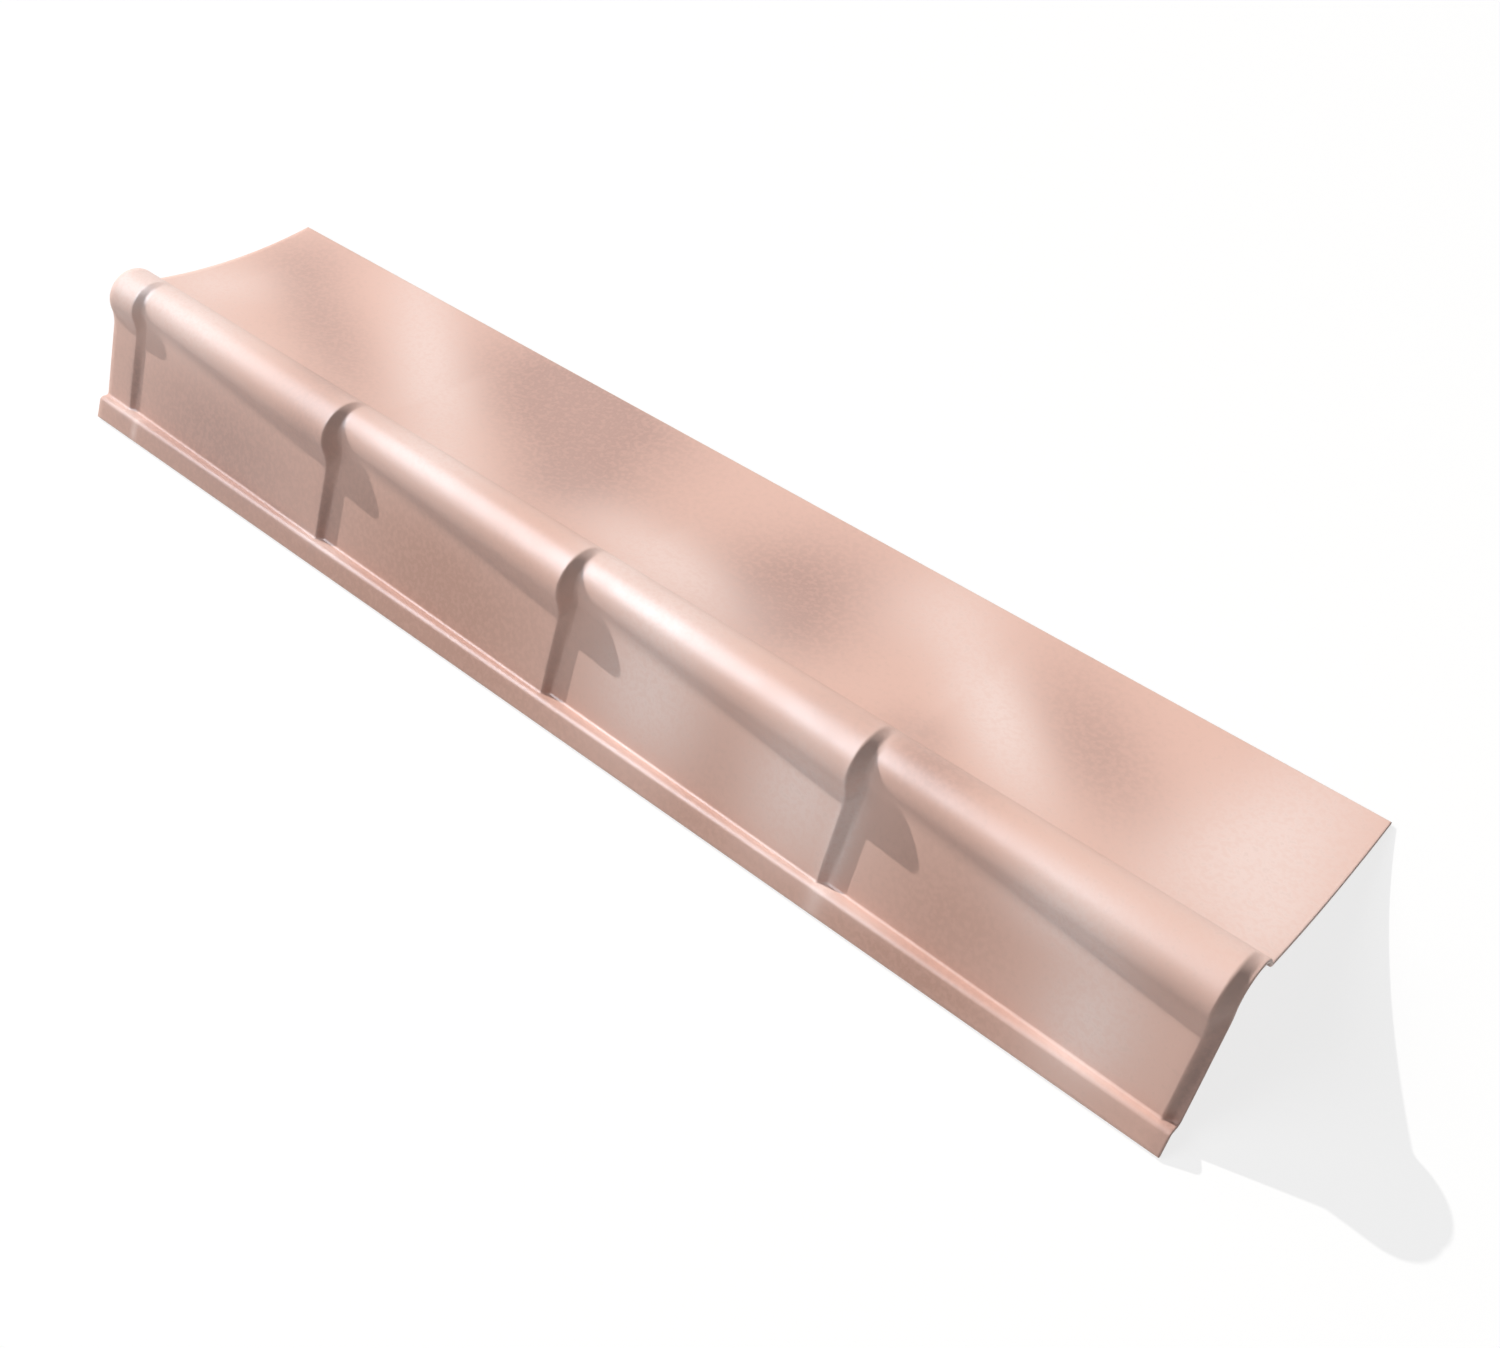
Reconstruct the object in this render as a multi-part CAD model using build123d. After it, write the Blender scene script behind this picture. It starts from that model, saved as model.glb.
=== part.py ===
from build123d import *
from math import atan2, cos, degrees, hypot, pi, radians, sin, sqrt, tan
import os

# A side flashing for the sloping edge of a tile-effect roof: one thin formed sheet.
# The section is drawn upright: p runs in from the outer corner of the ledge towards
# the building, q runs up. The length runs along X, down the roof slope.

# Sheet and length
sheet = 2.5              # thickness everywhere
course_pitch = 220.0     # length of one tile course
course_count = 4         # full courses
nub_length = 28.0        # plain upper lap before the first step
nub_proudness = 0.55     # the upper lap stands lower, so the next piece can cover it
wall_run = 8.5           # length over which a step wall falls
last_wall = 7.7          # the last step wall, trimmed off just short of its foot

# Drip lip and ledge
lip_height = 16.0
lip_splay = 4.0          # degrees, foot kicked out
ledge_corner_radius = 3.5
ledge_slope = 9.5        # degrees, rising towards the skirt
skirt_foot_radius = 2.0

# Skirt and round bead, at the proud rim of a course
skirt_setback = 4.5
neck_radius = 19.5
bead_radius = 22.5
bead_centre_p = 19.5
bead_centre_q = 76.0

# How far a course starts behind the rim of the course above it
skirt_step = 3.8
bead_step = 8.4          # at the front of the bead, none at its hinge
bead_hinge = 52.0        # degrees up the back of the bead, where all courses share one line

# Valley and hollow flange
valley_radius = 4.5
valley_angle = 36.0      # degrees up the back of the proud bead, where the flange sets off
flange_start_slope = 6.6  # degrees, rising away from the bead
flange_radius = 440.0
flange_width = 137.3     # along its curve

# The cutting shape: how far it runs past the sheet's edges, and how far in behind them
clearance = 6.0
core_depth = 24.0

# Angles in radians that several functions share
splay = radians(lip_splay)
rise = radians(ledge_slope)
hinge = radians(bead_hinge)
flange_start = radians(flange_start_slope)
flange_edge = flange_start + flange_width / flange_radius


def polar(centre, radius, angle):
    """Point at an angle in radians on a circle of the section."""
    return (centre[0] + radius * cos(angle), centre[1] + radius * sin(angle))


def skin_elements(proudness):
    """Outer skin from the lip foot to the flange edge as arcs and straight runs.

    Each arc is (centre, radius, start angle, end angle). The straight runs are the
    gaps between the lip foot and the first three arcs. A proudness of 1 is the rim
    of a course and 0 its start. The bead shrinks towards its hinge, which stays still.
    """
    shrink = (1.0 - proudness) * bead_step / (1.0 + cos(hinge))
    skirt_p = skirt_setback + (1.0 - proudness) * skirt_step
    bead_r = bead_radius - shrink
    bead = polar((bead_centre_p, bead_centre_q), shrink, hinge)

    # Ledge corner, tangent to the lip and the ledge, whose lines meet at (0, 0)
    turn = pi / 2.0 - splay - rise
    reach = ledge_corner_radius * tan(turn / 2.0)
    corner_start = (-reach * sin(splay), -reach * cos(splay))
    corner = (corner_start[0] + ledge_corner_radius * cos(splay),
              corner_start[1] - ledge_corner_radius * sin(splay))
    corner_arc = (corner, ledge_corner_radius, pi - splay, pi / 2.0 + rise)

    # Skirt foot, tangent to the ledge and the upright skirt
    foot_p = skirt_p - skirt_foot_radius
    foot_q = foot_p * tan(rise) + skirt_foot_radius / cos(rise)
    foot_arc = ((foot_p, foot_q), skirt_foot_radius, rise - pi / 2.0, 0.0)

    # Neck, tangent to the skirt and the bead
    neck_p = skirt_p - neck_radius
    neck_drop = sqrt((bead_r + neck_radius) ** 2 - (bead[0] - neck_p) ** 2)
    neck = (neck_p, bead[1] - neck_drop)
    neck_end = atan2(bead[1] - neck[1], bead[0] - neck[0])
    neck_arc = (neck, neck_radius, 0.0, neck_end)

    # Valley, tangent to the back of the bead and to the hollow side of the flange
    set_off = polar((bead_centre_p, bead_centre_q), bead_radius, radians(valley_angle))
    flange = (set_off[0] - flange_radius * sin(flange_start),
              set_off[1] + flange_radius * cos(flange_start))
    to_flange = flange_radius - valley_radius
    to_bead = bead_r + valley_radius
    span = hypot(flange[0] - bead[0], flange[1] - bead[1])
    along = (to_bead ** 2 - to_flange ** 2 + span ** 2) / (2.0 * span)
    aside = sqrt(to_bead ** 2 - along ** 2)
    unit = ((flange[0] - bead[0]) / span, (flange[1] - bead[1]) / span)
    valley = (bead[0] + along * unit[0] + aside * unit[1],
              bead[1] + along * unit[1] - aside * unit[0])
    back = atan2(valley[1] - bead[1], valley[0] - bead[0])
    down = atan2(valley[1] - flange[1], valley[0] - flange[0])

    # Bead, parted at its front and its crest so that each length tapers evenly
    bead_turns = [neck_end + pi, pi, pi / 2.0, back]
    bead_arcs = [(bead, bead_r, a, b) for a, b in zip(bead_turns, bead_turns[1:])]
    valley_arc = (valley, valley_radius, back - pi, down)
    flange_arc = (flange, flange_radius, down, flange_edge - pi / 2.0)
    return [corner_arc, foot_arc, neck_arc, *bead_arcs, valley_arc, flange_arc]


def section_points(proudness, depth, overrun):
    """Start, middle and end of every arc of the skin at a depth below its outer face.

    Arcs that swell outwards lose the depth from their radius and hollow ones gain it.
    The overrun carries the lip and the flange on past their cut edges.
    """
    arcs = []
    for centre, radius, start, end in skin_elements(proudness):
        swells = end < start
        skin_radius = radius - depth if swells else radius + depth
        arcs.append([centre, skin_radius, start, end])
    arcs[-1][3] += overrun / flange_radius
    points = []
    for centre, radius, start, end in arcs:
        points.append([polar(centre, radius, a) for a in (start, (start + end) / 2.0, end)])
    length = lip_height / cos(splay) + overrun
    inward = (cos(splay) * depth, -sin(splay) * depth)
    foot = (-sin(splay) * length + inward[0], -cos(splay) * length + inward[1])
    return foot, points


def section_wire(x, proudness, depth, overrun, closing):
    """Closed section at x, bounded by the skin and by two square edges and a chord."""
    foot, arcs = section_points(proudness, depth, overrun)

    def place(point):
        return Vector(x, point[0], point[1])

    edges = []
    last = foot
    for index, (start, middle, end) in enumerate(arcs):
        if index < 3:
            edges.append(Edge.make_line(place(last), place(start)))
        edges.append(Edge.make_three_point_arc(place(start), place(middle), place(end)))
        last = end
    under_flange = (last[0] + sin(flange_edge) * closing, last[1] - cos(flange_edge) * closing)
    behind_lip = (foot[0] + cos(splay) * closing, foot[1] - sin(splay) * closing)
    edges.append(Edge.make_line(place(last), place(under_flange)))
    edges.append(Edge.make_line(place(under_flange), place(behind_lip)))
    edges.append(Edge.make_line(place(behind_lip), place(foot)))
    return Wire(edges)


def stations():
    """Position along the length and proudness at every change of slope, untrimmed."""
    places = [(-nub_length, nub_proudness), (0.0, nub_proudness), (wall_run, 0.0)]
    for course in range(1, course_count + 1):
        rim = course * course_pitch
        places.append((rim, 1.0))
        places.append((rim + wall_run, 0.0))
    return places


# Outer shape, and the hollow under it set back so that step walls keep their thickness
wall_angle = atan2((skirt_step + bead_step) / 2.0, wall_run)
set_back = sheet * tan(wall_angle / 2.0)
full = stations()
trimmed_end = (course_count * course_pitch + last_wall, 1.0 - last_wall / wall_run)
outer_places = full[:-1] + [trimmed_end]
outer_wires = [section_wire(x, w, 0.0, 0.0, sheet + clearance) for x, w in outer_places]
hollow_places = [(x - set_back, w) for x, w in full]
hollow_places[0] = (-nub_length - clearance, nub_proudness)
hollow_places.append((full[-1][0] + clearance, 0.0))
hollow_wires = [section_wire(x, w, sheet, clearance, core_depth) for x, w in hollow_places]
outer = Solid.make_loft(outer_wires, ruled=True)
hollow = Solid.make_loft(hollow_wires, ruled=True)
formed = outer - hollow

# Lay the sheet down on its lip foot and its flange edge, centred on the origin
foot, arcs = section_points(1.0, sheet, 0.0)
flange_corner = arcs[-1][2]
lean = degrees(atan2(flange_corner[1] - foot[1], flange_corner[0] - foot[0]))
laid = Rot(-lean, 0, 0) * formed
box = laid.bounding_box()
middle = box.center()
side_flashing = Pos(-middle.X, -middle.Y, -box.min.Z) * laid
side_flashing.label = "side_flashing"

os.makedirs("parts", exist_ok=True)
export_step(side_flashing, "parts/side_flashing.step")
print("size", box.size, "volume", side_flashing.volume, "lean", lean)
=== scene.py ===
# %% [markdown]
# # A side flashing in sprayed resin
# The piece in the picture looks like one thin sheet of weatherable resin, formed over a mould and then
# sprayed with soft clouds of tint so that it passes for old clay tile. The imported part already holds
# its section and length. This lesson dresses it: the same section is carried along the length once
# more, this time with softened rims and edges, and the sheet gets its finish, its light and its view.

# %% Load the frame
import math
import bpy
import numpy as np
from mathutils import Matrix, Vector


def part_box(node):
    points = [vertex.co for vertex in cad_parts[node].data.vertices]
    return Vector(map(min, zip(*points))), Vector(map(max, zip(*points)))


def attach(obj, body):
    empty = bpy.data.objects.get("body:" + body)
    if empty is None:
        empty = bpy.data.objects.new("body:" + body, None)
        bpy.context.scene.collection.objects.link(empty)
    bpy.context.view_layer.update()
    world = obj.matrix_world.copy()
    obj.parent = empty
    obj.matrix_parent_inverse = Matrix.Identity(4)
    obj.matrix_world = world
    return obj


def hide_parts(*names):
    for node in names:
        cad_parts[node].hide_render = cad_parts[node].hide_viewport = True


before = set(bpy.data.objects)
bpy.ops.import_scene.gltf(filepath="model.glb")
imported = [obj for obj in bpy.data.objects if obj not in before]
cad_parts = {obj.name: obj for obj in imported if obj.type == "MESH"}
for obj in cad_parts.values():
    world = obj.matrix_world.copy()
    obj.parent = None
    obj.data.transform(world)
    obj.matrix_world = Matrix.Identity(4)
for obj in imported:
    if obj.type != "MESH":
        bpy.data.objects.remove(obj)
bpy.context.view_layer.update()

NODE = "side_flashing"
node_low, node_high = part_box(NODE)
print("frame box in mm", [round(1000 * (b - a), 1) for a, b in zip(node_low, node_high)])

# %% [markdown]
# ## The sizes of the section
# The section is drawn upright, as the piece stands on a roof: p runs in from the outer corner of the
# ledge, q runs up. The numbers repeat the part's own, in millimetres, because the finished mesh has to
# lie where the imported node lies. Of these sizes only the neck under the bead is changed, to a softer
# bend, and the edge rounding is added.

# %% Section sizes
SHEET = 2.5
PITCH, COURSES = 220.0, 4
NUB_LENGTH, NUB_PROUD = 28.0, 0.55
WALL_RUN, LAST_WALL = 8.5, 7.7
LIP_HEIGHT, LIP_SPLAY = 16.0, math.radians(4.0)
LIP_LENGTH = LIP_HEIGHT / math.cos(LIP_SPLAY)
LEDGE_RADIUS, LEDGE_RISE = 3.5, math.radians(9.5)
FOOT_RADIUS, SKIRT_SETBACK, SKIRT_STEP = 2.0, 4.5, 3.8
NECK_RADIUS = 28.0
BEAD_RADIUS, BEAD_P, BEAD_Q, BEAD_STEP = 22.5, 19.5, 76.0, 8.4
BEAD_HINGE = math.radians(52.0)
VALLEY_RADIUS, VALLEY_ANGLE = 4.5, math.radians(36.0)
FLANGE_RADIUS, FLANGE_START, FLANGE_WIDTH = 440.0, math.radians(6.6), 137.3
FLANGE_EDGE = FLANGE_START + FLANGE_WIDTH / FLANGE_RADIUS
EDGE_ROUND = 0.45
print("lip splay and flange edge slope in degrees", round(math.degrees(LIP_SPLAY), 1),
      round(math.degrees(FLANGE_EDGE), 1))

# %% [markdown]
# ## How proud each course stands
# Along the length one number is enough to say how far the skirt and the bead stand out: 0 where a
# course starts and 1 at its rim. It climbs slowly for a whole course and falls back over a short wall.
# Formed resin has no sharp corners, so the zigzag is averaged over a short window, which turns each
# corner into a little curve.

# %% Proudness along the length
RIM_SOFTNESS = 1.0
PAST_ENDS = 5.0
FINE_STEP = 0.05


def proudness(x, run):
    """Zigzag of courses, falling over the given run and averaged over a short window.

    The window is twice the rim softness wide. The running integral of the zigzag is read at both of
    its ends, and the difference is divided by its width.
    """
    knots = [(-NUB_LENGTH - PAST_ENDS, NUB_PROUD), (0.0, NUB_PROUD), (run, 0.0)]
    for course in range(1, COURSES + 1):
        knots += [(course * PITCH, 1.0), (course * PITCH + run, 0.0)]
    knots.append((COURSES * PITCH + WALL_RUN + PAST_ENDS, 0.0))
    at, value = np.array(knots).T
    fine = np.arange(at[0], at[-1], FINE_STEP)
    area = np.concatenate([[0.0], np.cumsum(np.interp(fine, at, value) * FINE_STEP)[:-1]])
    high = np.interp(x + RIM_SOFTNESS, fine, area)
    low = np.interp(x - RIM_SOFTNESS, fine, area)
    return np.clip((high - low) / (2.0 * RIM_SOFTNESS), 0.0, 1.0)


print("proudness halfway down the first course", round(float(proudness(PITCH / 2, WALL_RUN)), 3))

# %% Stations along the length
LENGTH_START = -NUB_LENGTH
LENGTH_END = COURSES * PITCH + LAST_WALL
PLAIN_SPACING = 5.0
END_CLEARANCE = 1.0
CLOSEST = 0.1
END_STEPS = [0.0, 0.15, EDGE_ROUND]
near_rim = np.concatenate([
    np.arange(-3.0, 2.5, 0.5),
    np.arange(3.0, 6.5, 0.8),
    np.arange(6.5, 11.0, 0.5),
])
rims = np.arange(COURSES + 1) * PITCH
plain = np.arange(LENGTH_START, LENGTH_END, PLAIN_SPACING)
stations = np.concatenate([plain, (rims[:, None] + near_rim[None, :]).ravel()])
clear_of_ends = (stations > LENGTH_START + END_CLEARANCE) & (stations < LENGTH_END - END_CLEARANCE)
first_end = [LENGTH_START + step for step in END_STEPS]
last_end = [LENGTH_END - step for step in END_STEPS]
stations = np.unique(np.round(np.concatenate([stations[clear_of_ends], first_end, last_end]), 3))
stations = stations[np.concatenate([[True], np.diff(stations) > CLOSEST])]
proud = proudness(stations, WALL_RUN)
print(len(stations), "stations, proudness from", round(proud.min(), 3), "to", round(proud.max(), 3))

# %% [markdown]
# ## The section as arcs and straight runs
# Every bend of the sheet is an arc that meets its neighbours without a corner. Each arc is kept as a
# centre, a radius and two angles, and those are arrays with one value per station, so the whole length
# is worked out at once. The side an arc swells to tells which way its face looks.

# %% Section arcs for all stations
def section_arcs(w):
    """Arcs of the outer face for an array of proudness values.

    The bead shrinks towards a point near its crest, the hinge: its radius loses some length and its
    centre moves towards the hinge by as much, so the hinge stays still and the front steps back most.
    The neck touches the skirt line and the bead from outside, and the valley touches the bead from
    outside and the flange arc from within.
    """
    shrink = (1.0 - w) * BEAD_STEP / (1.0 + math.cos(BEAD_HINGE))
    skirt = SKIRT_SETBACK + (1.0 - w) * SKIRT_STEP
    bead_r = BEAD_RADIUS - shrink
    bead_p = BEAD_P + shrink * math.cos(BEAD_HINGE)
    bead_q = BEAD_Q + shrink * math.sin(BEAD_HINGE)
    one = np.ones_like(w)

    reach = LEDGE_RADIUS * math.tan((math.pi / 2 - LIP_SPLAY - LEDGE_RISE) / 2)
    corner_p = -reach * math.sin(LIP_SPLAY) + LEDGE_RADIUS * math.cos(LIP_SPLAY)
    corner_q = -reach * math.cos(LIP_SPLAY) - LEDGE_RADIUS * math.sin(LIP_SPLAY)
    corner = (corner_p * one, corner_q * one, LEDGE_RADIUS * one,
              (math.pi - LIP_SPLAY) * one, (math.pi / 2 + LEDGE_RISE) * one)

    foot_p = skirt - FOOT_RADIUS
    foot_q = foot_p * math.tan(LEDGE_RISE) + FOOT_RADIUS / math.cos(LEDGE_RISE)
    foot = (foot_p, foot_q, FOOT_RADIUS * one, (LEDGE_RISE - math.pi / 2) * one, 0.0 * one)

    neck_p = skirt - NECK_RADIUS
    neck_q = bead_q - np.sqrt((bead_r + NECK_RADIUS) ** 2 - (bead_p - neck_p) ** 2)
    neck_end = np.arctan2(bead_q - neck_q, bead_p - neck_p)
    neck = (neck_p, neck_q, NECK_RADIUS * one, 0.0 * one, neck_end)

    off_p = BEAD_P + BEAD_RADIUS * math.cos(VALLEY_ANGLE)
    off_q = BEAD_Q + BEAD_RADIUS * math.sin(VALLEY_ANGLE)
    flange_p = off_p - FLANGE_RADIUS * math.sin(FLANGE_START)
    flange_q = off_q + FLANGE_RADIUS * math.cos(FLANGE_START)
    to_p, to_q = flange_p - bead_p, flange_q - bead_q
    span = np.hypot(to_p, to_q)
    to_valley = bead_r + VALLEY_RADIUS
    along = (to_valley ** 2 - (FLANGE_RADIUS - VALLEY_RADIUS) ** 2 + span ** 2) / (2 * span)
    aside = np.sqrt(to_valley ** 2 - along ** 2)
    valley_p = bead_p + (along * to_p + aside * to_q) / span
    valley_q = bead_q + (along * to_q - aside * to_p) / span
    back = np.arctan2(valley_q - bead_q, valley_p - bead_p)
    down = np.arctan2(valley_q - flange_q, valley_p - flange_p)

    bead = (bead_p, bead_q, bead_r, neck_end + math.pi, back)
    valley = (valley_p, valley_q, VALLEY_RADIUS * one, back - math.pi, down)
    flange = (flange_p * one, flange_q * one, FLANGE_RADIUS * one,
              down, (FLANGE_EDGE - math.pi / 2) * one)
    return [corner, foot, neck, bead, valley, flange]


arcs = section_arcs(proud)
bead_radii = arcs[3][2]
print("bead radius from", round(bead_radii.min(), 2), "to", round(bead_radii.max(), 2), "mm")

# %% [markdown]
# ## The outer face as a grid
# Each arc and each straight run gets a fixed number of samples, so that row after row of points lines
# up along the length. The face direction comes from the arcs themselves, so the inner face can later
# be set one sheet thickness behind the outer one.

# %% Outer face and its directions
# Samples of the corner, foot, neck, bead, valley and flange, then of the lip, ledge and skirt runs
ARC_SAMPLES = (7, 6, 9, 42, 8, 34)
RUN_SAMPLES = (5, 4, 14)


def outer_face(all_arcs):
    """Grid of points and face directions, stations by samples.

    A point on an arc is its centre plus the radius along an angle. The face looks away from the centre
    where the angle falls along the section, and towards it where the angle rises. Straight runs are
    blends of the two points they join and look the way the next arc starts.
    """
    rows = len(all_arcs[0][0])
    last = np.tile([-math.sin(LIP_SPLAY) * LIP_LENGTH, -math.cos(LIP_SPLAY) * LIP_LENGTH], (rows, 1))
    points = [last[:, None, :]]
    looks = [np.tile([-math.cos(LIP_SPLAY), math.sin(LIP_SPLAY)], (rows, 1, 1))]
    for index, (cp, cq, radius, start, end) in enumerate(all_arcs):
        share = np.linspace(0.0, 1.0, ARC_SAMPLES[index])[None, :]
        angle = start[:, None] + (end - start)[:, None] * share
        ray = np.stack([np.cos(angle), np.sin(angle)], axis=-1)
        arc = np.stack([cp, cq], axis=-1)[:, None, :] + radius[:, None, None] * ray
        look = ray * np.where(end < start, 1.0, -1.0)[:, None, None]
        if index < len(RUN_SAMPLES):
            blend = np.linspace(0.0, 1.0, RUN_SAMPLES[index] + 2)[1:-1][None, :, None]
            points.append(last[:, None, :] * (1.0 - blend) + arc[:, :1, :] * blend)
            looks.append(np.repeat(look[:, :1, :], RUN_SAMPLES[index], axis=1))
            keep = slice(0, None)
        else:
            keep = slice(1, None)
        points.append(arc[:, keep, :])
        looks.append(look[:, keep, :])
        last = arc[:, -1, :]
    return np.concatenate(points, axis=1), np.concatenate(looks, axis=1)


even_walls = outer_face(arcs)
print("outer face grid", even_walls[0].shape[:2])

# %% [markdown]
# ## Walls that suit their steps
# On the front of the bead the step is deep and its wall is long. On the skirt and near the crest the
# step is shallow, and the picture shows a shorter wall there, ending in a thin dark horn where the
# crest turns away. So the length of the wall follows the square root of the depth of the step. The face
# is drawn with a few lengths of wall, and every sample takes its share of the two that suit it best.

# %% Outer face with walls to suit their steps
RUNS = np.array([2.0, 4.0, 6.0, WALL_RUN])
drawn = [outer_face(section_arcs(proudness(stations, run))) for run in RUNS[:-1]] + [even_walls]
proud_section, start_section = (outer_face(section_arcs(np.array([w])))[0][0] for w in (1.0, 0.0))
step_depth = np.linalg.norm(proud_section - start_section, axis=-1)
wanted_run = np.clip(WALL_RUN * np.sqrt(step_depth / step_depth.max()), RUNS[0], RUNS[-1])
nearest = np.interp(wanted_run, RUNS, np.arange(len(RUNS)))
share = np.clip(1.0 - np.abs(nearest[None, :] - np.arange(len(RUNS))[:, None]), 0.0, 1.0)
face = np.einsum("krsc,ks->rsc", np.array([d[0] for d in drawn]), share)
look = np.einsum("krsc,ks->rsc", np.array([d[1] for d in drawn]), share)
look /= np.linalg.norm(look, axis=-1, keepdims=True)
steps = np.linalg.norm(np.diff(face, axis=1), axis=-1)
arc_length = np.concatenate([np.zeros((len(face), 1)), np.cumsum(steps, axis=1)], axis=1)
print("deepest step", round(step_depth.max(), 1), "mm")
print("longest section", round(arc_length[:, -1].max(), 1), "mm")

# %% [markdown]
# ## Closing the sheet
# The sheet is a ring at every station: out along the outer face, round the flange edge, back along the
# inner face and round the lip foot. The cut edges are barely rounded, as a trimmed and wiped edge is.
# Step walls lean, so the inner face is set back a little along the length to keep the wall's thickness.

# %% Rings of the closed sheet
EDGE_POINTS = 4
ROUND_SLACK = 0.3 * EDGE_ROUND
FIRST_RAMP, LAST_RAMP = 12.0, 1.2


def sheet_rings(face, look, stations):
    """Rings of points (station, ring point, xyz in mm), with the sample number of each ring point.

    A ring point is the outer point minus its depth along the face direction, and end points are pulled
    back along the section to round the edge. At both ends of the length the depth shrinks towards the
    middle of the sheet, which rounds the end cuts in the same way. The inner face is set back by the
    thickness times the tangent of half the wall's lean, fading out over a ramp at either end.
    """
    count = face.shape[1]
    r, t, slack = EDGE_ROUND, SHEET, ROUND_SLACK
    first, final = 0, count - 1
    sample = np.concatenate([np.arange(count), [final] * EDGE_POINTS,
                             np.arange(count)[::-1], [first] * EDGE_POINTS])
    edge_depth = [slack, r, t - r, t - slack]
    depth = np.concatenate([np.zeros(count), edge_depth, np.full(count, t), edge_depth[::-1]])
    edge_pull = [slack, 0.0, 0.0, slack]
    pull = np.zeros(len(sample))
    pull[[first, final, count + EDGE_POINTS, 2 * count + EDGE_POINTS - 1]] = r
    pull[count:count + EDGE_POINTS] = edge_pull
    pull[2 * count + EDGE_POINTS:] = edge_pull
    heading = np.zeros_like(face)
    heading[:, first] = face[:, first + 1] - face[:, first]
    heading[:, final] = face[:, final - 1] - face[:, final]
    heading /= np.maximum(np.linalg.norm(heading, axis=-1, keepdims=True), 1e-9)

    from_end = np.minimum(stations - LENGTH_START, LENGTH_END - stations)
    inset = np.interp(from_end, END_STEPS, [r, slack, 0.0])
    depths = t / 2 + (depth[None, :] - t / 2) * (1.0 - 2.0 * inset[:, None] / t)
    section = (face[:, sample] - look[:, sample] * depths[..., None]
               + heading[:, sample] * pull[None, :, None])

    wall_lean = math.atan2((SKIRT_STEP + BEAD_STEP) / 2.0, WALL_RUN)
    set_back = t * math.tan(wall_lean / 2.0)
    ramp = np.minimum((stations - LENGTH_START) / FIRST_RAMP, (LENGTH_END - stations) / LAST_RAMP)
    ramp = np.clip(ramp, 0.0, 1.0)
    x = stations[:, None] - (depth / t)[None, :] * (set_back * ramp)[:, None]
    return np.concatenate([x[..., None], section], axis=-1), sample


rings, ring_sample = sheet_rings(face, look, stations)
print("rings", rings.shape[:2])

# %% [markdown]
# ## Laying it down
# The section was drawn upright, but the piece is kept as it lies on a floor: on the foot of its lip and
# the edge of its flange. The lean is the slope of the line through those two lower corners.

# %% From the upright section to the frame
foot_out = np.array([-math.sin(LIP_SPLAY), -math.cos(LIP_SPLAY)]) * LIP_LENGTH
foot_in = foot_out + SHEET * np.array([math.cos(LIP_SPLAY), -math.sin(LIP_SPLAY)])
edge_in = face[0, -1] + SHEET * np.array([math.sin(FLANGE_EDGE), -math.cos(FLANGE_EDGE)])
lean = math.atan2(edge_in[1] - foot_in[1], edge_in[0] - foot_in[0])
LAY = np.array([[1.0, 0.0, 0.0],
                [0.0, math.cos(lean), math.sin(lean)],
                [0.0, -math.sin(lean), math.cos(lean)]])


def lay_down(points):
    """Turns (x, p, q) in mm into the frame in metres.

    The points turn about the length by the lean and then shift to the low corner of the node's box.
    """
    low = np.array([LENGTH_START, (LAY[1:, 1:] @ foot_out)[0], (LAY[1:, 1:] @ foot_in)[1]])
    return (points @ LAY.T - low) / 1000.0 + np.array(node_low)


placed = lay_down(rings)
print("lean in degrees", round(math.degrees(lean), 2), "sheet box in mm",
      np.round(1000 * (placed.reshape(-1, 3).max(0) - placed.reshape(-1, 3).min(0)), 1))

# %% [markdown]
# ## The mesh
# The rings become one closed skin of quads: neighbours along the ring and along the length make the
# walls, and at each end the outer and inner samples are laced together across the thickness. Faces of
# the outer side take the sprayed finish with its painted shade and highlights, everything else the bare
# resin.

# %% Faces of the sheet
def ring_faces(rows, size):
    """Quads between ring i and ring i + 1, wrapping round the ring."""
    grid = np.arange(rows * size).reshape(rows, size)
    turned = np.roll(grid, -1, axis=1)
    return np.stack([grid[:-1], grid[1:], turned[1:], turned[:-1]], axis=-1).reshape(-1, 4)


def end_faces(count, base):
    """Quads across the thickness of one end ring: both faces laced together, then the two cut edges."""
    outer = np.arange(count)
    inner = 2 * count + EDGE_POINTS - 1 - outer
    lace = np.stack([outer[:-1], outer[1:], inner[1:], inner[:-1]], axis=-1)
    at_flange = count + np.arange(EDGE_POINTS)
    at_lip = at_flange + count + EDGE_POINTS
    flange = [[outer[-1], at_flange[0], at_flange[-1], inner[-1]], at_flange]
    lip = [[inner[0], at_lip[0], at_lip[-1], outer[0]], at_lip]
    return np.concatenate([lace, flange, lip]) + base


rows, size = placed.shape[:2]
samples = face.shape[1]
walls = ring_faces(rows, size)
near_end = end_faces(samples, 0)
far_end = end_faces(samples, (rows - 1) * size)[:, ::-1]
quads = np.concatenate([walls, near_end, far_end])
points = placed.reshape(-1, 3)
corner = points[quads]
volume = np.einsum("ij,ij->i", corner[:, 0], np.cross(corner[:, 1], corner[:, 2])).sum() / 6
volume += np.einsum("ij,ij->i", corner[:, 0], np.cross(corner[:, 2], corner[:, 3])).sum() / 6
if volume < 0:
    quads = quads[:, ::-1]
print(len(points), "points,", len(quads), "faces, volume", round(abs(volume) * 1e6, 1), "cm3")

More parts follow.
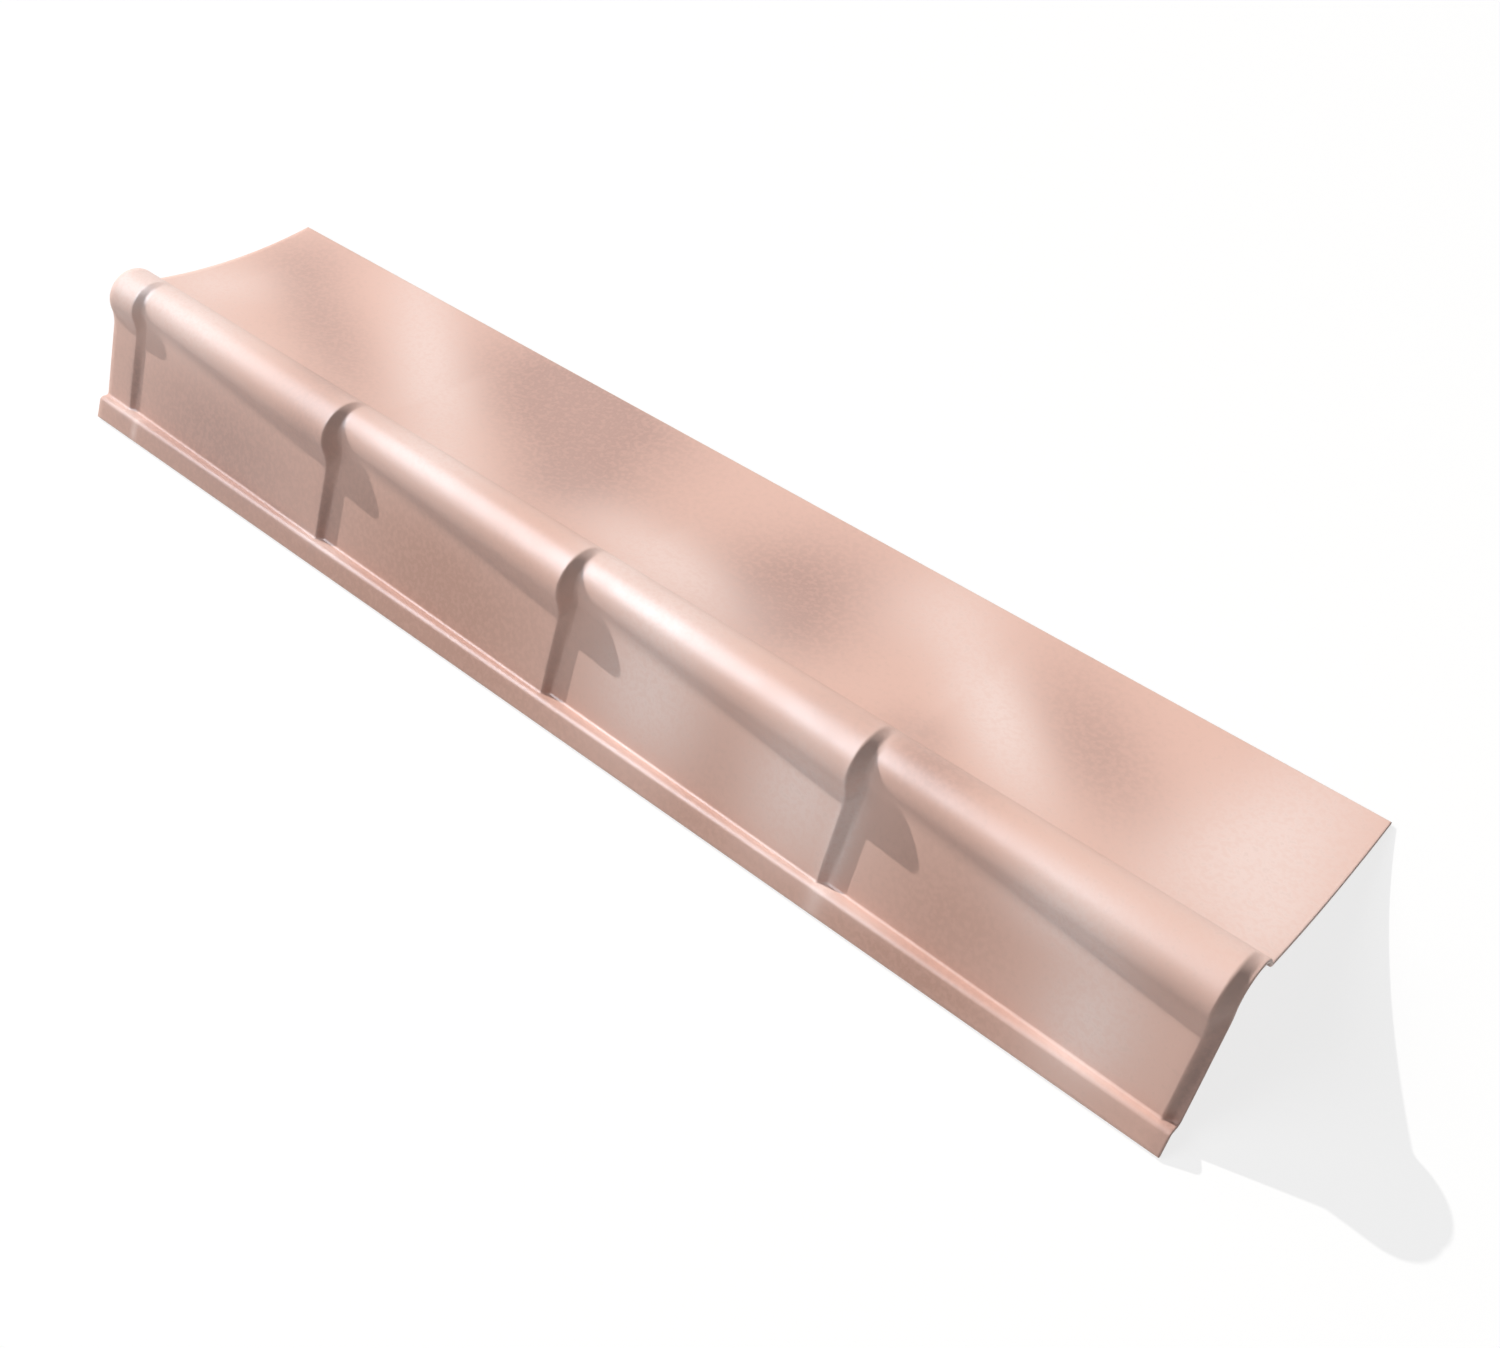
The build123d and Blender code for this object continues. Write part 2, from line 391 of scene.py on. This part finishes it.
# %% Sheet object
mesh = bpy.data.meshes.new("sprayed_sheet")
mesh.vertices.add(len(points))
mesh.vertices.foreach_set("co", points.ravel())
mesh.loops.add(quads.size)
mesh.loops.foreach_set("vertex_index", quads.ravel().astype(np.int32))
mesh.polygons.add(len(quads))
mesh.polygons.foreach_set("loop_start", np.arange(0, quads.size, 4, dtype=np.int32))
mesh.polygons.foreach_set("use_smooth", np.ones(len(quads), dtype=bool))
sprayed_side = np.zeros(len(quads), dtype=bool)
sprayed_side[:len(walls)] = np.tile(np.arange(size) < samples - 1, rows - 1)
mesh.polygons.foreach_set("material_index", np.where(sprayed_side, 0, 1).astype(np.int32))
mesh.update()
mesh.validate()
sheet = bpy.data.objects.new("sprayed_sheet", mesh)
bpy.context.scene.collection.objects.link(sheet)
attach(sheet, "root")
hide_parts(NODE)
print("sprayed faces", int(sprayed_side.sum()), "bare faces", int((~sprayed_side).sum()))

# %% [markdown]
# ## Where the tints fell, with painted shade and highlights
# The clouds run across the courses and mostly pay no heed to steps. A few dozen soft patches are
# enough: each has a place along the length and across the sheet, two half widths, a slant and a
# strength. They are summed as bell curves and stored on the points, one number each for the clay, the
# brown and the pale tint. Small brown ones are painted shade on the step walls, and a small pale one is
# a painted highlight across the lip. Pale patches on the bead of the first course and on the ledge are
# partly pale tint and partly painted highlight, and one on the bead of the upper lap is a painted
# highlight.

# %% Clouds of tint
# Each cloud: along, across, half length, half width, slant in degrees, strength
CLAY_CLOUDS = [
    (340.0, 45.0, 125.0, 60.0, 0.0, 1.0),
    (150.0, 6.0, 220.0, 11.0, 0.0, 0.75),
    (735.0, 45.0, 50.0, 50.0, 0.0, 0.65),
    (572.0, 45.0, 32.0, 45.0, 0.0, 0.5),
    (860.0, 88.0, 30.0, 12.0, 0.0, 0.5),
    (680.0, 6.0, 260.0, 11.0, 0.0, 0.65),
]
BROWN_CLOUDS_AND_PAINTED_SHADE = [
    (105.0, 200.0, 120.0, 30.0, -24.0, 0.72),
    (15.0, 255.0, 50.0, 35.0, -30.0, 0.35),
    (300.0, 245.0, 112.0, 52.0, -18.0, 1.1),
    (360.0, 185.0, 42.0, 40.0, -40.0, 0.5),
    (532.0, 208.0, 56.0, 66.0, -16.0, 1.0),
    (740.0, 225.0, 75.0, 34.0, -38.0, 0.7),
    (668.0, 158.0, 26.0, 20.0, -30.0, 0.5),
    (695.0, 122.0, 32.0, 18.0, 0.0, 0.7),
    (185.0, 136.0, 42.0, 13.0, 0.0, 0.5),
    (205.0, 92.0, 30.0, 14.0, 0.0, 0.45),
    (200.0, 112.0, 45.0, 10.0, 0.0, 0.35),
    (630.0, 116.0, 26.0, 16.0, 0.0, 0.35),
    (105.0, 42.0, 110.0, 48.0, 0.0, 0.9),
    # The next four are painted shade that darkens the step walls, the last one on the end wall.
    (3.0, 42.0, 5.0, 30.0, 0.0, 0.6),
    (223.0, 42.0, 5.0, 30.0, 0.0, 0.6),
    (443.0, 40.0, 5.0, 28.0, 0.0, 0.4),
    (885.0, 55.0, 5.0, 45.0, 0.0, 1.0),
    (335.0, 276.0, 75.0, 26.0, 0.0, 0.5),
    (556.0, 174.0, 36.0, 28.0, 0.0, 0.3),
    # The next two darken narrow bands along the ledge.
    (150.0, 18.0, 280.0, 4.0, 0.0, 0.8),
    (680.0, 18.0, 260.0, 4.0, 0.0, 0.5),
]
PALE_CLOUDS_AND_PAINTED_HIGHLIGHT = [
    (185.0, 228.0, 150.0, 26.0, -36.0, 0.8),
    (0.0, 180.0, 40.0, 35.0, 0.0, 0.6),
    (470.0, 172.0, 70.0, 28.0, -10.0, 0.75),
    (612.0, 262.0, 40.0, 40.0, -20.0, 0.4),
    (690.0, 203.0, 75.0, 22.0, -42.0, 0.95),
    (845.0, 225.0, 38.0, 90.0, -8.0, 0.95),
    (878.0, 170.0, 24.0, 60.0, 0.0, 0.6),
    # Whitens the bead of the first course: pale tint, and partly a painted highlight.
    (45.0, 120.0, 80.0, 28.0, 0.0, 1.0),
    (290.0, 125.0, 60.0, 26.0, 0.0, 0.65),
    (510.0, 120.0, 55.0, 26.0, 0.0, 0.65),
    (458.0, 132.0, 24.0, 18.0, 0.0, 0.6),
    (515.0, 64.0, 42.0, 40.0, 0.0, 0.95),
    (632.0, 64.0, 34.0, 40.0, 0.0, 0.95),
    (664.0, 60.0, 6.0, 60.0, 0.0, 1.0),
    (795.0, 90.0, 34.0, 20.0, 0.0, 1.0),
    (828.0, 42.0, 26.0, 36.0, 0.0, 0.95),
    # Painted highlight: a thin pale line across the lip where a small step catches the light.
    (17.0, 8.0, 2.0, 9.0, 0.0, 0.7),
    # The next three brighten the ledge just past three rims: partly pale tint, partly painted
    # highlight.
    (0.0, 18.0, 25.0, 4.0, 0.0, 0.6),
    (228.0, 18.0, 28.0, 4.0, 0.0, 0.5),
    (685.0, 18.0, 28.0, 4.0, 0.0, 0.45),
    # Painted highlight on the bead of the upper lap.
    (-16.0, 118.0, 16.0, 20.0, 0.0, 0.7),
]


def summed_patches(clouds, along, across):
    """Sum of slanted bell curves: each falls as exp(-d^2), d measured in its own half widths."""
    c = np.array(clouds)[:, :, None]
    slant = np.radians(c[:, 4])
    da, db = along[None, :] - c[:, 0], across[None, :] - c[:, 1]
    u = (da * np.cos(slant) + db * np.sin(slant)) / c[:, 2]
    v = (db * np.cos(slant) - da * np.sin(slant)) / c[:, 3]
    return np.clip((c[:, 5] * np.exp(-(u * u + v * v))).sum(axis=0), 0.0, 1.0)


PLAIN_TO_SEE = 0.3
along = np.repeat(stations, size)
across = arc_length[:, ring_sample].ravel()
TINTS_AND_PAINTED_LIGHT = (("clay_spray", CLAY_CLOUDS), ("brown_spray_and_painted_shade", BROWN_CLOUDS_AND_PAINTED_SHADE), ("pale_spray_and_painted_highlight", PALE_CLOUDS_AND_PAINTED_HIGHLIGHT))
for name, clouds in TINTS_AND_PAINTED_LIGHT:
    layer = mesh.attributes.new(name, "FLOAT", "POINT")
    amount = summed_patches(clouds, along, across)
    layer.data.foreach_set("value", amount.astype(np.float32))
    print(name, "covers", round(100 * float((amount > PLAIN_TO_SEE).mean())), "percent of the points")

# %% [markdown]
# ## A grain that both finishes share
# Close to, the resin is not quite smooth: fine sand in the mould coat leaves a faint grain, and the
# colour carries a slight speckle. Both the sprayed and the bare side show it, so it is a node group
# with its own inputs, placed in each material.

# %% Node helpers and the grain group
FINE_SCALE, FINE_DETAIL = 300.0, 2.0
SLOW_SCALE, SLOW_DETAIL = 60.0, 4.0
SPECKLE_SPAN = (0.52, 0.75)


def link(tree, source, target):
    """Joins an output to an input."""
    tree.links.new(source, target)


def node(tree, kind, **settings):
    """New node of a kind, with its settings."""
    made = tree.nodes.new(kind)
    for name, value in settings.items():
        setattr(made, name, value)
    return made


def grain_group():
    """Two noises on the position: a fine one for height, mottling and speckle, a slow one for gloss."""
    group = bpy.data.node_groups.new("sandy grain", "ShaderNodeTree")
    new_socket = group.interface.new_socket
    new_socket("Position", in_out="INPUT", socket_type="NodeSocketVector")
    new_socket("Fine Scale", in_out="INPUT", socket_type="NodeSocketFloat").default_value = FINE_SCALE
    new_socket("Slow Scale", in_out="INPUT", socket_type="NodeSocketFloat").default_value = SLOW_SCALE
    new_socket("Speckle", in_out="OUTPUT", socket_type="NodeSocketFloat")
    new_socket("Height", in_out="OUTPUT", socket_type="NodeSocketFloat")
    new_socket("Drift", in_out="OUTPUT", socket_type="NodeSocketFloat")
    enter = node(group, "NodeGroupInput")
    leave = node(group, "NodeGroupOutput")
    fine = node(group, "ShaderNodeTexNoise")
    fine.inputs["Detail"].default_value = FINE_DETAIL
    slow = node(group, "ShaderNodeTexNoise")
    slow.inputs["Detail"].default_value = SLOW_DETAIL
    for noise, scale in ((fine, "Fine Scale"), (slow, "Slow Scale")):
        link(group, enter.outputs["Position"], noise.inputs["Vector"])
        link(group, enter.outputs[scale], noise.inputs["Scale"])
    speckle = node(group, "ShaderNodeMapRange", interpolation_type="SMOOTHSTEP")
    speckle.inputs["From Min"].default_value = SPECKLE_SPAN[0]
    speckle.inputs["From Max"].default_value = SPECKLE_SPAN[1]
    link(group, fine.outputs["Fac"], speckle.inputs["Value"])
    link(group, speckle.outputs["Result"], leave.inputs["Speckle"])
    link(group, fine.outputs["Fac"], leave.inputs["Height"])
    link(group, slow.outputs["Fac"], leave.inputs["Drift"])
    return group


sandy_grain = grain_group()
print("group outputs", [s.name for s in sandy_grain.interface.items_tree if s.in_out == "OUTPUT"])

# %% [markdown]
# ## The two finishes
# The sprayed side starts from a pale salmon resin. The clay, brown and pale clouds are laid over it,
# mottled by the fine grain as small drops leave them, with a sandy speckle on top. The brown and pale
# layers also carry painted shade on the step walls and painted highlights on the bead, the ledge and
# the lip. The bare side is the resin alone. Both are satin, so the bead carries a broad soft highlight.

# %% Materials
SALMON = (0.85, 0.555, 0.465, 1.0)
CLAY = (0.60, 0.35, 0.275, 1.0)
BROWN = (0.54, 0.34, 0.29, 1.0)
PALE = (0.96, 0.75, 0.69, 1.0)
SAND = (0.70, 0.47, 0.39, 1.0)
BARE = (0.80, 0.56, 0.475, 1.0)
NOISE_SPAN = (0.3, 0.7)
MOTTLING = (0.80, 1.14)
ROUGHNESS = (0.39, 0.45)
SPRAYED_SPECKLE, BARE_SPECKLE = 0.16, 0.12
BUMP_STRENGTH, BUMP_HEIGHT = 0.06, 0.0004


def mixed(tree, factor, first, second):
    """Colour that goes from first to second by a linked factor; both are links or plain colours."""
    mix = node(tree, "ShaderNodeMix", data_type="RGBA")
    link(tree, factor, mix.inputs["Factor"])
    for socket, value in ((mix.inputs["A"], first), (mix.inputs["B"], second)):
        if isinstance(value, tuple):
            socket.default_value = value
        else:
            link(tree, value, socket)
    return mix.outputs["Result"]


def scaled(tree, value, span, result):
    """Value carried smoothly from one range to another and clamped; each range is (low, high)."""
    carry = node(tree, "ShaderNodeMapRange", interpolation_type="SMOOTHSTEP")
    for name, number in zip(("From Min", "From Max", "To Min", "To Max"), span + result):
        carry.inputs[name].default_value = number
    link(tree, value, carry.inputs["Value"])
    return carry.outputs["Result"]


def speckled(tree, grain, colour, amount):
    """The colour with up to the given amount of sand where the grain's speckle shows."""
    share = scaled(tree, grain.outputs["Speckle"], (0.0, 1.0), (0.0, amount))
    return mixed(tree, share, colour, SAND)


def resin(name, colour_of):
    """Satin resin: colour_of(tree, grain) gives the colour, the shared grain the gloss and the bump."""
    material = bpy.data.materials.new(name)
    material.use_nodes = True
    tree = material.node_tree
    shader = tree.nodes["Principled BSDF"]
    place = node(tree, "ShaderNodeTexCoord").outputs["Object"]
    grain = node(tree, "ShaderNodeGroup", node_tree=sandy_grain)
    link(tree, place, grain.inputs["Position"])
    link(tree, colour_of(tree, grain), shader.inputs["Base Color"])
    roughness = scaled(tree, grain.outputs["Drift"], NOISE_SPAN, ROUGHNESS)
    link(tree, roughness, shader.inputs["Roughness"])
    shader.inputs["Specular IOR Level"].default_value = 0.5
    bump = node(tree, "ShaderNodeBump")
    bump.inputs["Strength"].default_value = BUMP_STRENGTH
    bump.inputs["Distance"].default_value = BUMP_HEIGHT
    link(tree, grain.outputs["Height"], bump.inputs["Height"])
    link(tree, bump.outputs["Normal"], shader.inputs["Normal"])
    return material


def sprayed_colour_and_painted_light(tree, grain):
    """Salmon, then clay, brown and pale layers, each mottled by the fine grain, then speckle; the brown
    layer also holds painted shade and the pale one painted highlights.
    """
    colour = SALMON
    mottle = scaled(tree, grain.outputs["Height"], NOISE_SPAN, MOTTLING)
    for layer, tint in (("clay_spray", CLAY), ("brown_spray_and_painted_shade", BROWN), ("pale_spray_and_painted_highlight", PALE)):
        spread = node(tree, "ShaderNodeAttribute", attribute_name=layer)
        cover = node(tree, "ShaderNodeMath", operation="MULTIPLY", use_clamp=True)
        link(tree, spread.outputs["Fac"], cover.inputs[0])
        link(tree, mottle, cover.inputs[1])
        colour = mixed(tree, cover.outputs["Value"], colour, tint)
    return speckled(tree, grain, colour, SPRAYED_SPECKLE)


def bare_colour(tree, grain):
    """Resin with only the sandy speckle."""
    return speckled(tree, grain, BARE, BARE_SPECKLE)


mesh.materials.append(resin("sprayed resin with painted light", sprayed_colour_and_painted_light))
mesh.materials.append(resin("bare resin", bare_colour))
print("materials", [m.name for m in mesh.materials])

# %% [markdown]
# ## Floor and light
# The piece lies on a pale floor. One low sun from beyond the upper lap rakes along the courses, so each
# rim throws its shadow on the next course. A wide fill box at the front opens the shadows, and a cool
# strip, seen only in the gloss, draws the long highlight on the bead. The floor and the sky look white
# to the camera and in reflections, while the floor still takes the shadow.

# %% Floor
FLOOR_REACH = 30.0
LIT_GREY, SEEN_GREY, SEEN_GLOW = 0.7, 0.22, 0.8
floor_mesh = bpy.data.meshes.new("floor")
floor_corners = [(-FLOOR_REACH, -FLOOR_REACH, 0.0), (FLOOR_REACH, -FLOOR_REACH, 0.0),
                 (FLOOR_REACH, FLOOR_REACH, 0.0), (-FLOOR_REACH, FLOOR_REACH, 0.0)]
floor_mesh.from_pydata(floor_corners, [], [(0, 1, 2, 3)])
floor = bpy.data.objects.new("floor", floor_mesh)
bpy.context.scene.collection.objects.link(floor)


def seen_plainly(tree):
    """1 for rays from the camera, off a glossy surface or through a clear one, and 0 for all others."""
    path = node(tree, "ShaderNodeLightPath")
    seen = path.outputs["Is Camera Ray"]
    for kind in ("Is Glossy Ray", "Is Transmission Ray"):
        either = node(tree, "ShaderNodeMath", operation="MAXIMUM")
        link(tree, seen, either.inputs[0])
        link(tree, path.outputs[kind], either.inputs[1])
        seen = either.outputs["Value"]
    return seen


floor_paint = bpy.data.materials.new("floor paint")
floor_paint.use_nodes = True
paint = floor_paint.node_tree
paint.nodes.clear()
matt = node(paint, "ShaderNodeBsdfDiffuse")
glow = node(paint, "ShaderNodeEmission")
seen = seen_plainly(paint)
levels = (
    (matt.inputs["Color"], LIT_GREY, SEEN_GREY),
    (glow.inputs["Strength"], 0.0, SEEN_GLOW),
)
for socket, lit_level, seen_level in levels:
    level = node(paint, "ShaderNodeMapRange")
    level.inputs["To Min"].default_value = lit_level
    level.inputs["To Max"].default_value = seen_level
    link(paint, seen, level.inputs["Value"])
    link(paint, level.outputs["Result"], socket)
both = node(paint, "ShaderNodeAddShader")
link(paint, matt.outputs["BSDF"], both.inputs[0])
link(paint, glow.outputs["Emission"], both.inputs[1])
link(paint, both.outputs["Shader"], node(paint, "ShaderNodeOutputMaterial").inputs["Surface"])
floor_mesh.materials.append(floor_paint)
print("floor reaches", FLOOR_REACH, "m to each side")

# %% Lamps
AIM = Vector((0.0, 0.0, 0.06))
BOX_DISTANCE = 5.0


def lamp(name, kind, toward, energy, colour, distance=0.0):
    """Lamp that shines at the piece from a direction given upright, as (x, p, q)."""
    data = bpy.data.lights.new(name, kind)
    data.energy = energy
    data.color = colour
    made = bpy.data.objects.new(name, data)
    from_here = Vector(LAY @ np.array(toward)).normalized()
    made.location = AIM + from_here * distance
    made.rotation_euler = from_here.to_track_quat("Z", "Y").to_euler()
    made.visible_camera = False
    bpy.context.scene.collection.objects.link(made)
    return made


def box_lamp(name, toward, energy, colour, width, height):
    """Rectangular lamp of the given size, at the box distance from the piece."""
    made = lamp(name, "AREA", toward, energy, colour, BOX_DISTANCE)
    made.data.shape = "RECTANGLE"
    made.data.size = width
    made.data.size_y = height
    return made


sun = lamp("low sun", "SUN", (-5.1, -1.0, 3.25), 3.9, (1.0, 0.98, 0.95))
sun.data.angle = math.radians(0.6)
sun.visible_glossy = False
fill = box_lamp("fill box", (-0.56, -0.74, 0.37), 94.0, (0.98, 0.99, 1.0), 4.0, 3.0)
strip = box_lamp("gloss strip", (-0.55, -0.60, 0.58), 480.0, (0.74, 0.87, 1.0), 5.0, 1.8)
strip.visible_diffuse = False
print("lamps", [(o.name, round(o.data.energy, 1)) for o in (sun, fill, strip)])

# %% Sky
SKY_LIGHT, SKY_SEEN = 0.06, 1.0
world = bpy.data.worlds.new("even sky")
bpy.context.scene.world = world
world.use_nodes = True
sky = world.node_tree
sky_light = sky.nodes["Background"]
sky_light.inputs["Color"].default_value = (1.0, 1.0, 1.0, 1.0)
strength = node(sky, "ShaderNodeMapRange")
strength.inputs["To Min"].default_value = SKY_LIGHT
strength.inputs["To Max"].default_value = SKY_SEEN
link(sky, seen_plainly(sky), strength.inputs["Value"])
link(sky, strength.outputs["Result"], sky_light.inputs["Strength"])
print("sky lights with", SKY_LIGHT, "and is seen as", SKY_SEEN)

# %% [markdown]
# ## The view
# The camera stands beyond the lower end, high over the skirt side, a little turned about its own axis,
# with a moderately wide lens. Its place and turn were found by fitting the known section, the course
# pitch and the long edges to the picture.

# %% Camera
LENS, SENSOR = 39.759, 36.0
RIGHT = (0.751074, 0.609475, 0.253826)
UP = (-0.469749, 0.223171, 0.854126)
SPOT = (1002.557, -688.304, 504.969)
camera_data = bpy.data.cameras.new("camera")
camera_data.sensor_fit = "HORIZONTAL"
camera_data.sensor_width = SENSOR
camera_data.lens = LENS
camera = bpy.data.objects.new("camera", camera_data)
right = Vector(LAY @ np.array(RIGHT))
up = Vector(LAY @ np.array(UP))
away = right.cross(up)
turn = Matrix((right, up, away)).transposed().to_4x4()
spot = lay_down(np.array(SPOT))
camera.matrix_world = Matrix.Translation(Vector(spot)) @ turn
bpy.context.scene.collection.objects.link(camera)
bpy.context.scene.camera = camera
bpy.context.scene.view_settings.view_transform = "Standard"
print("camera looks", [round(c, 3) for c in -away])
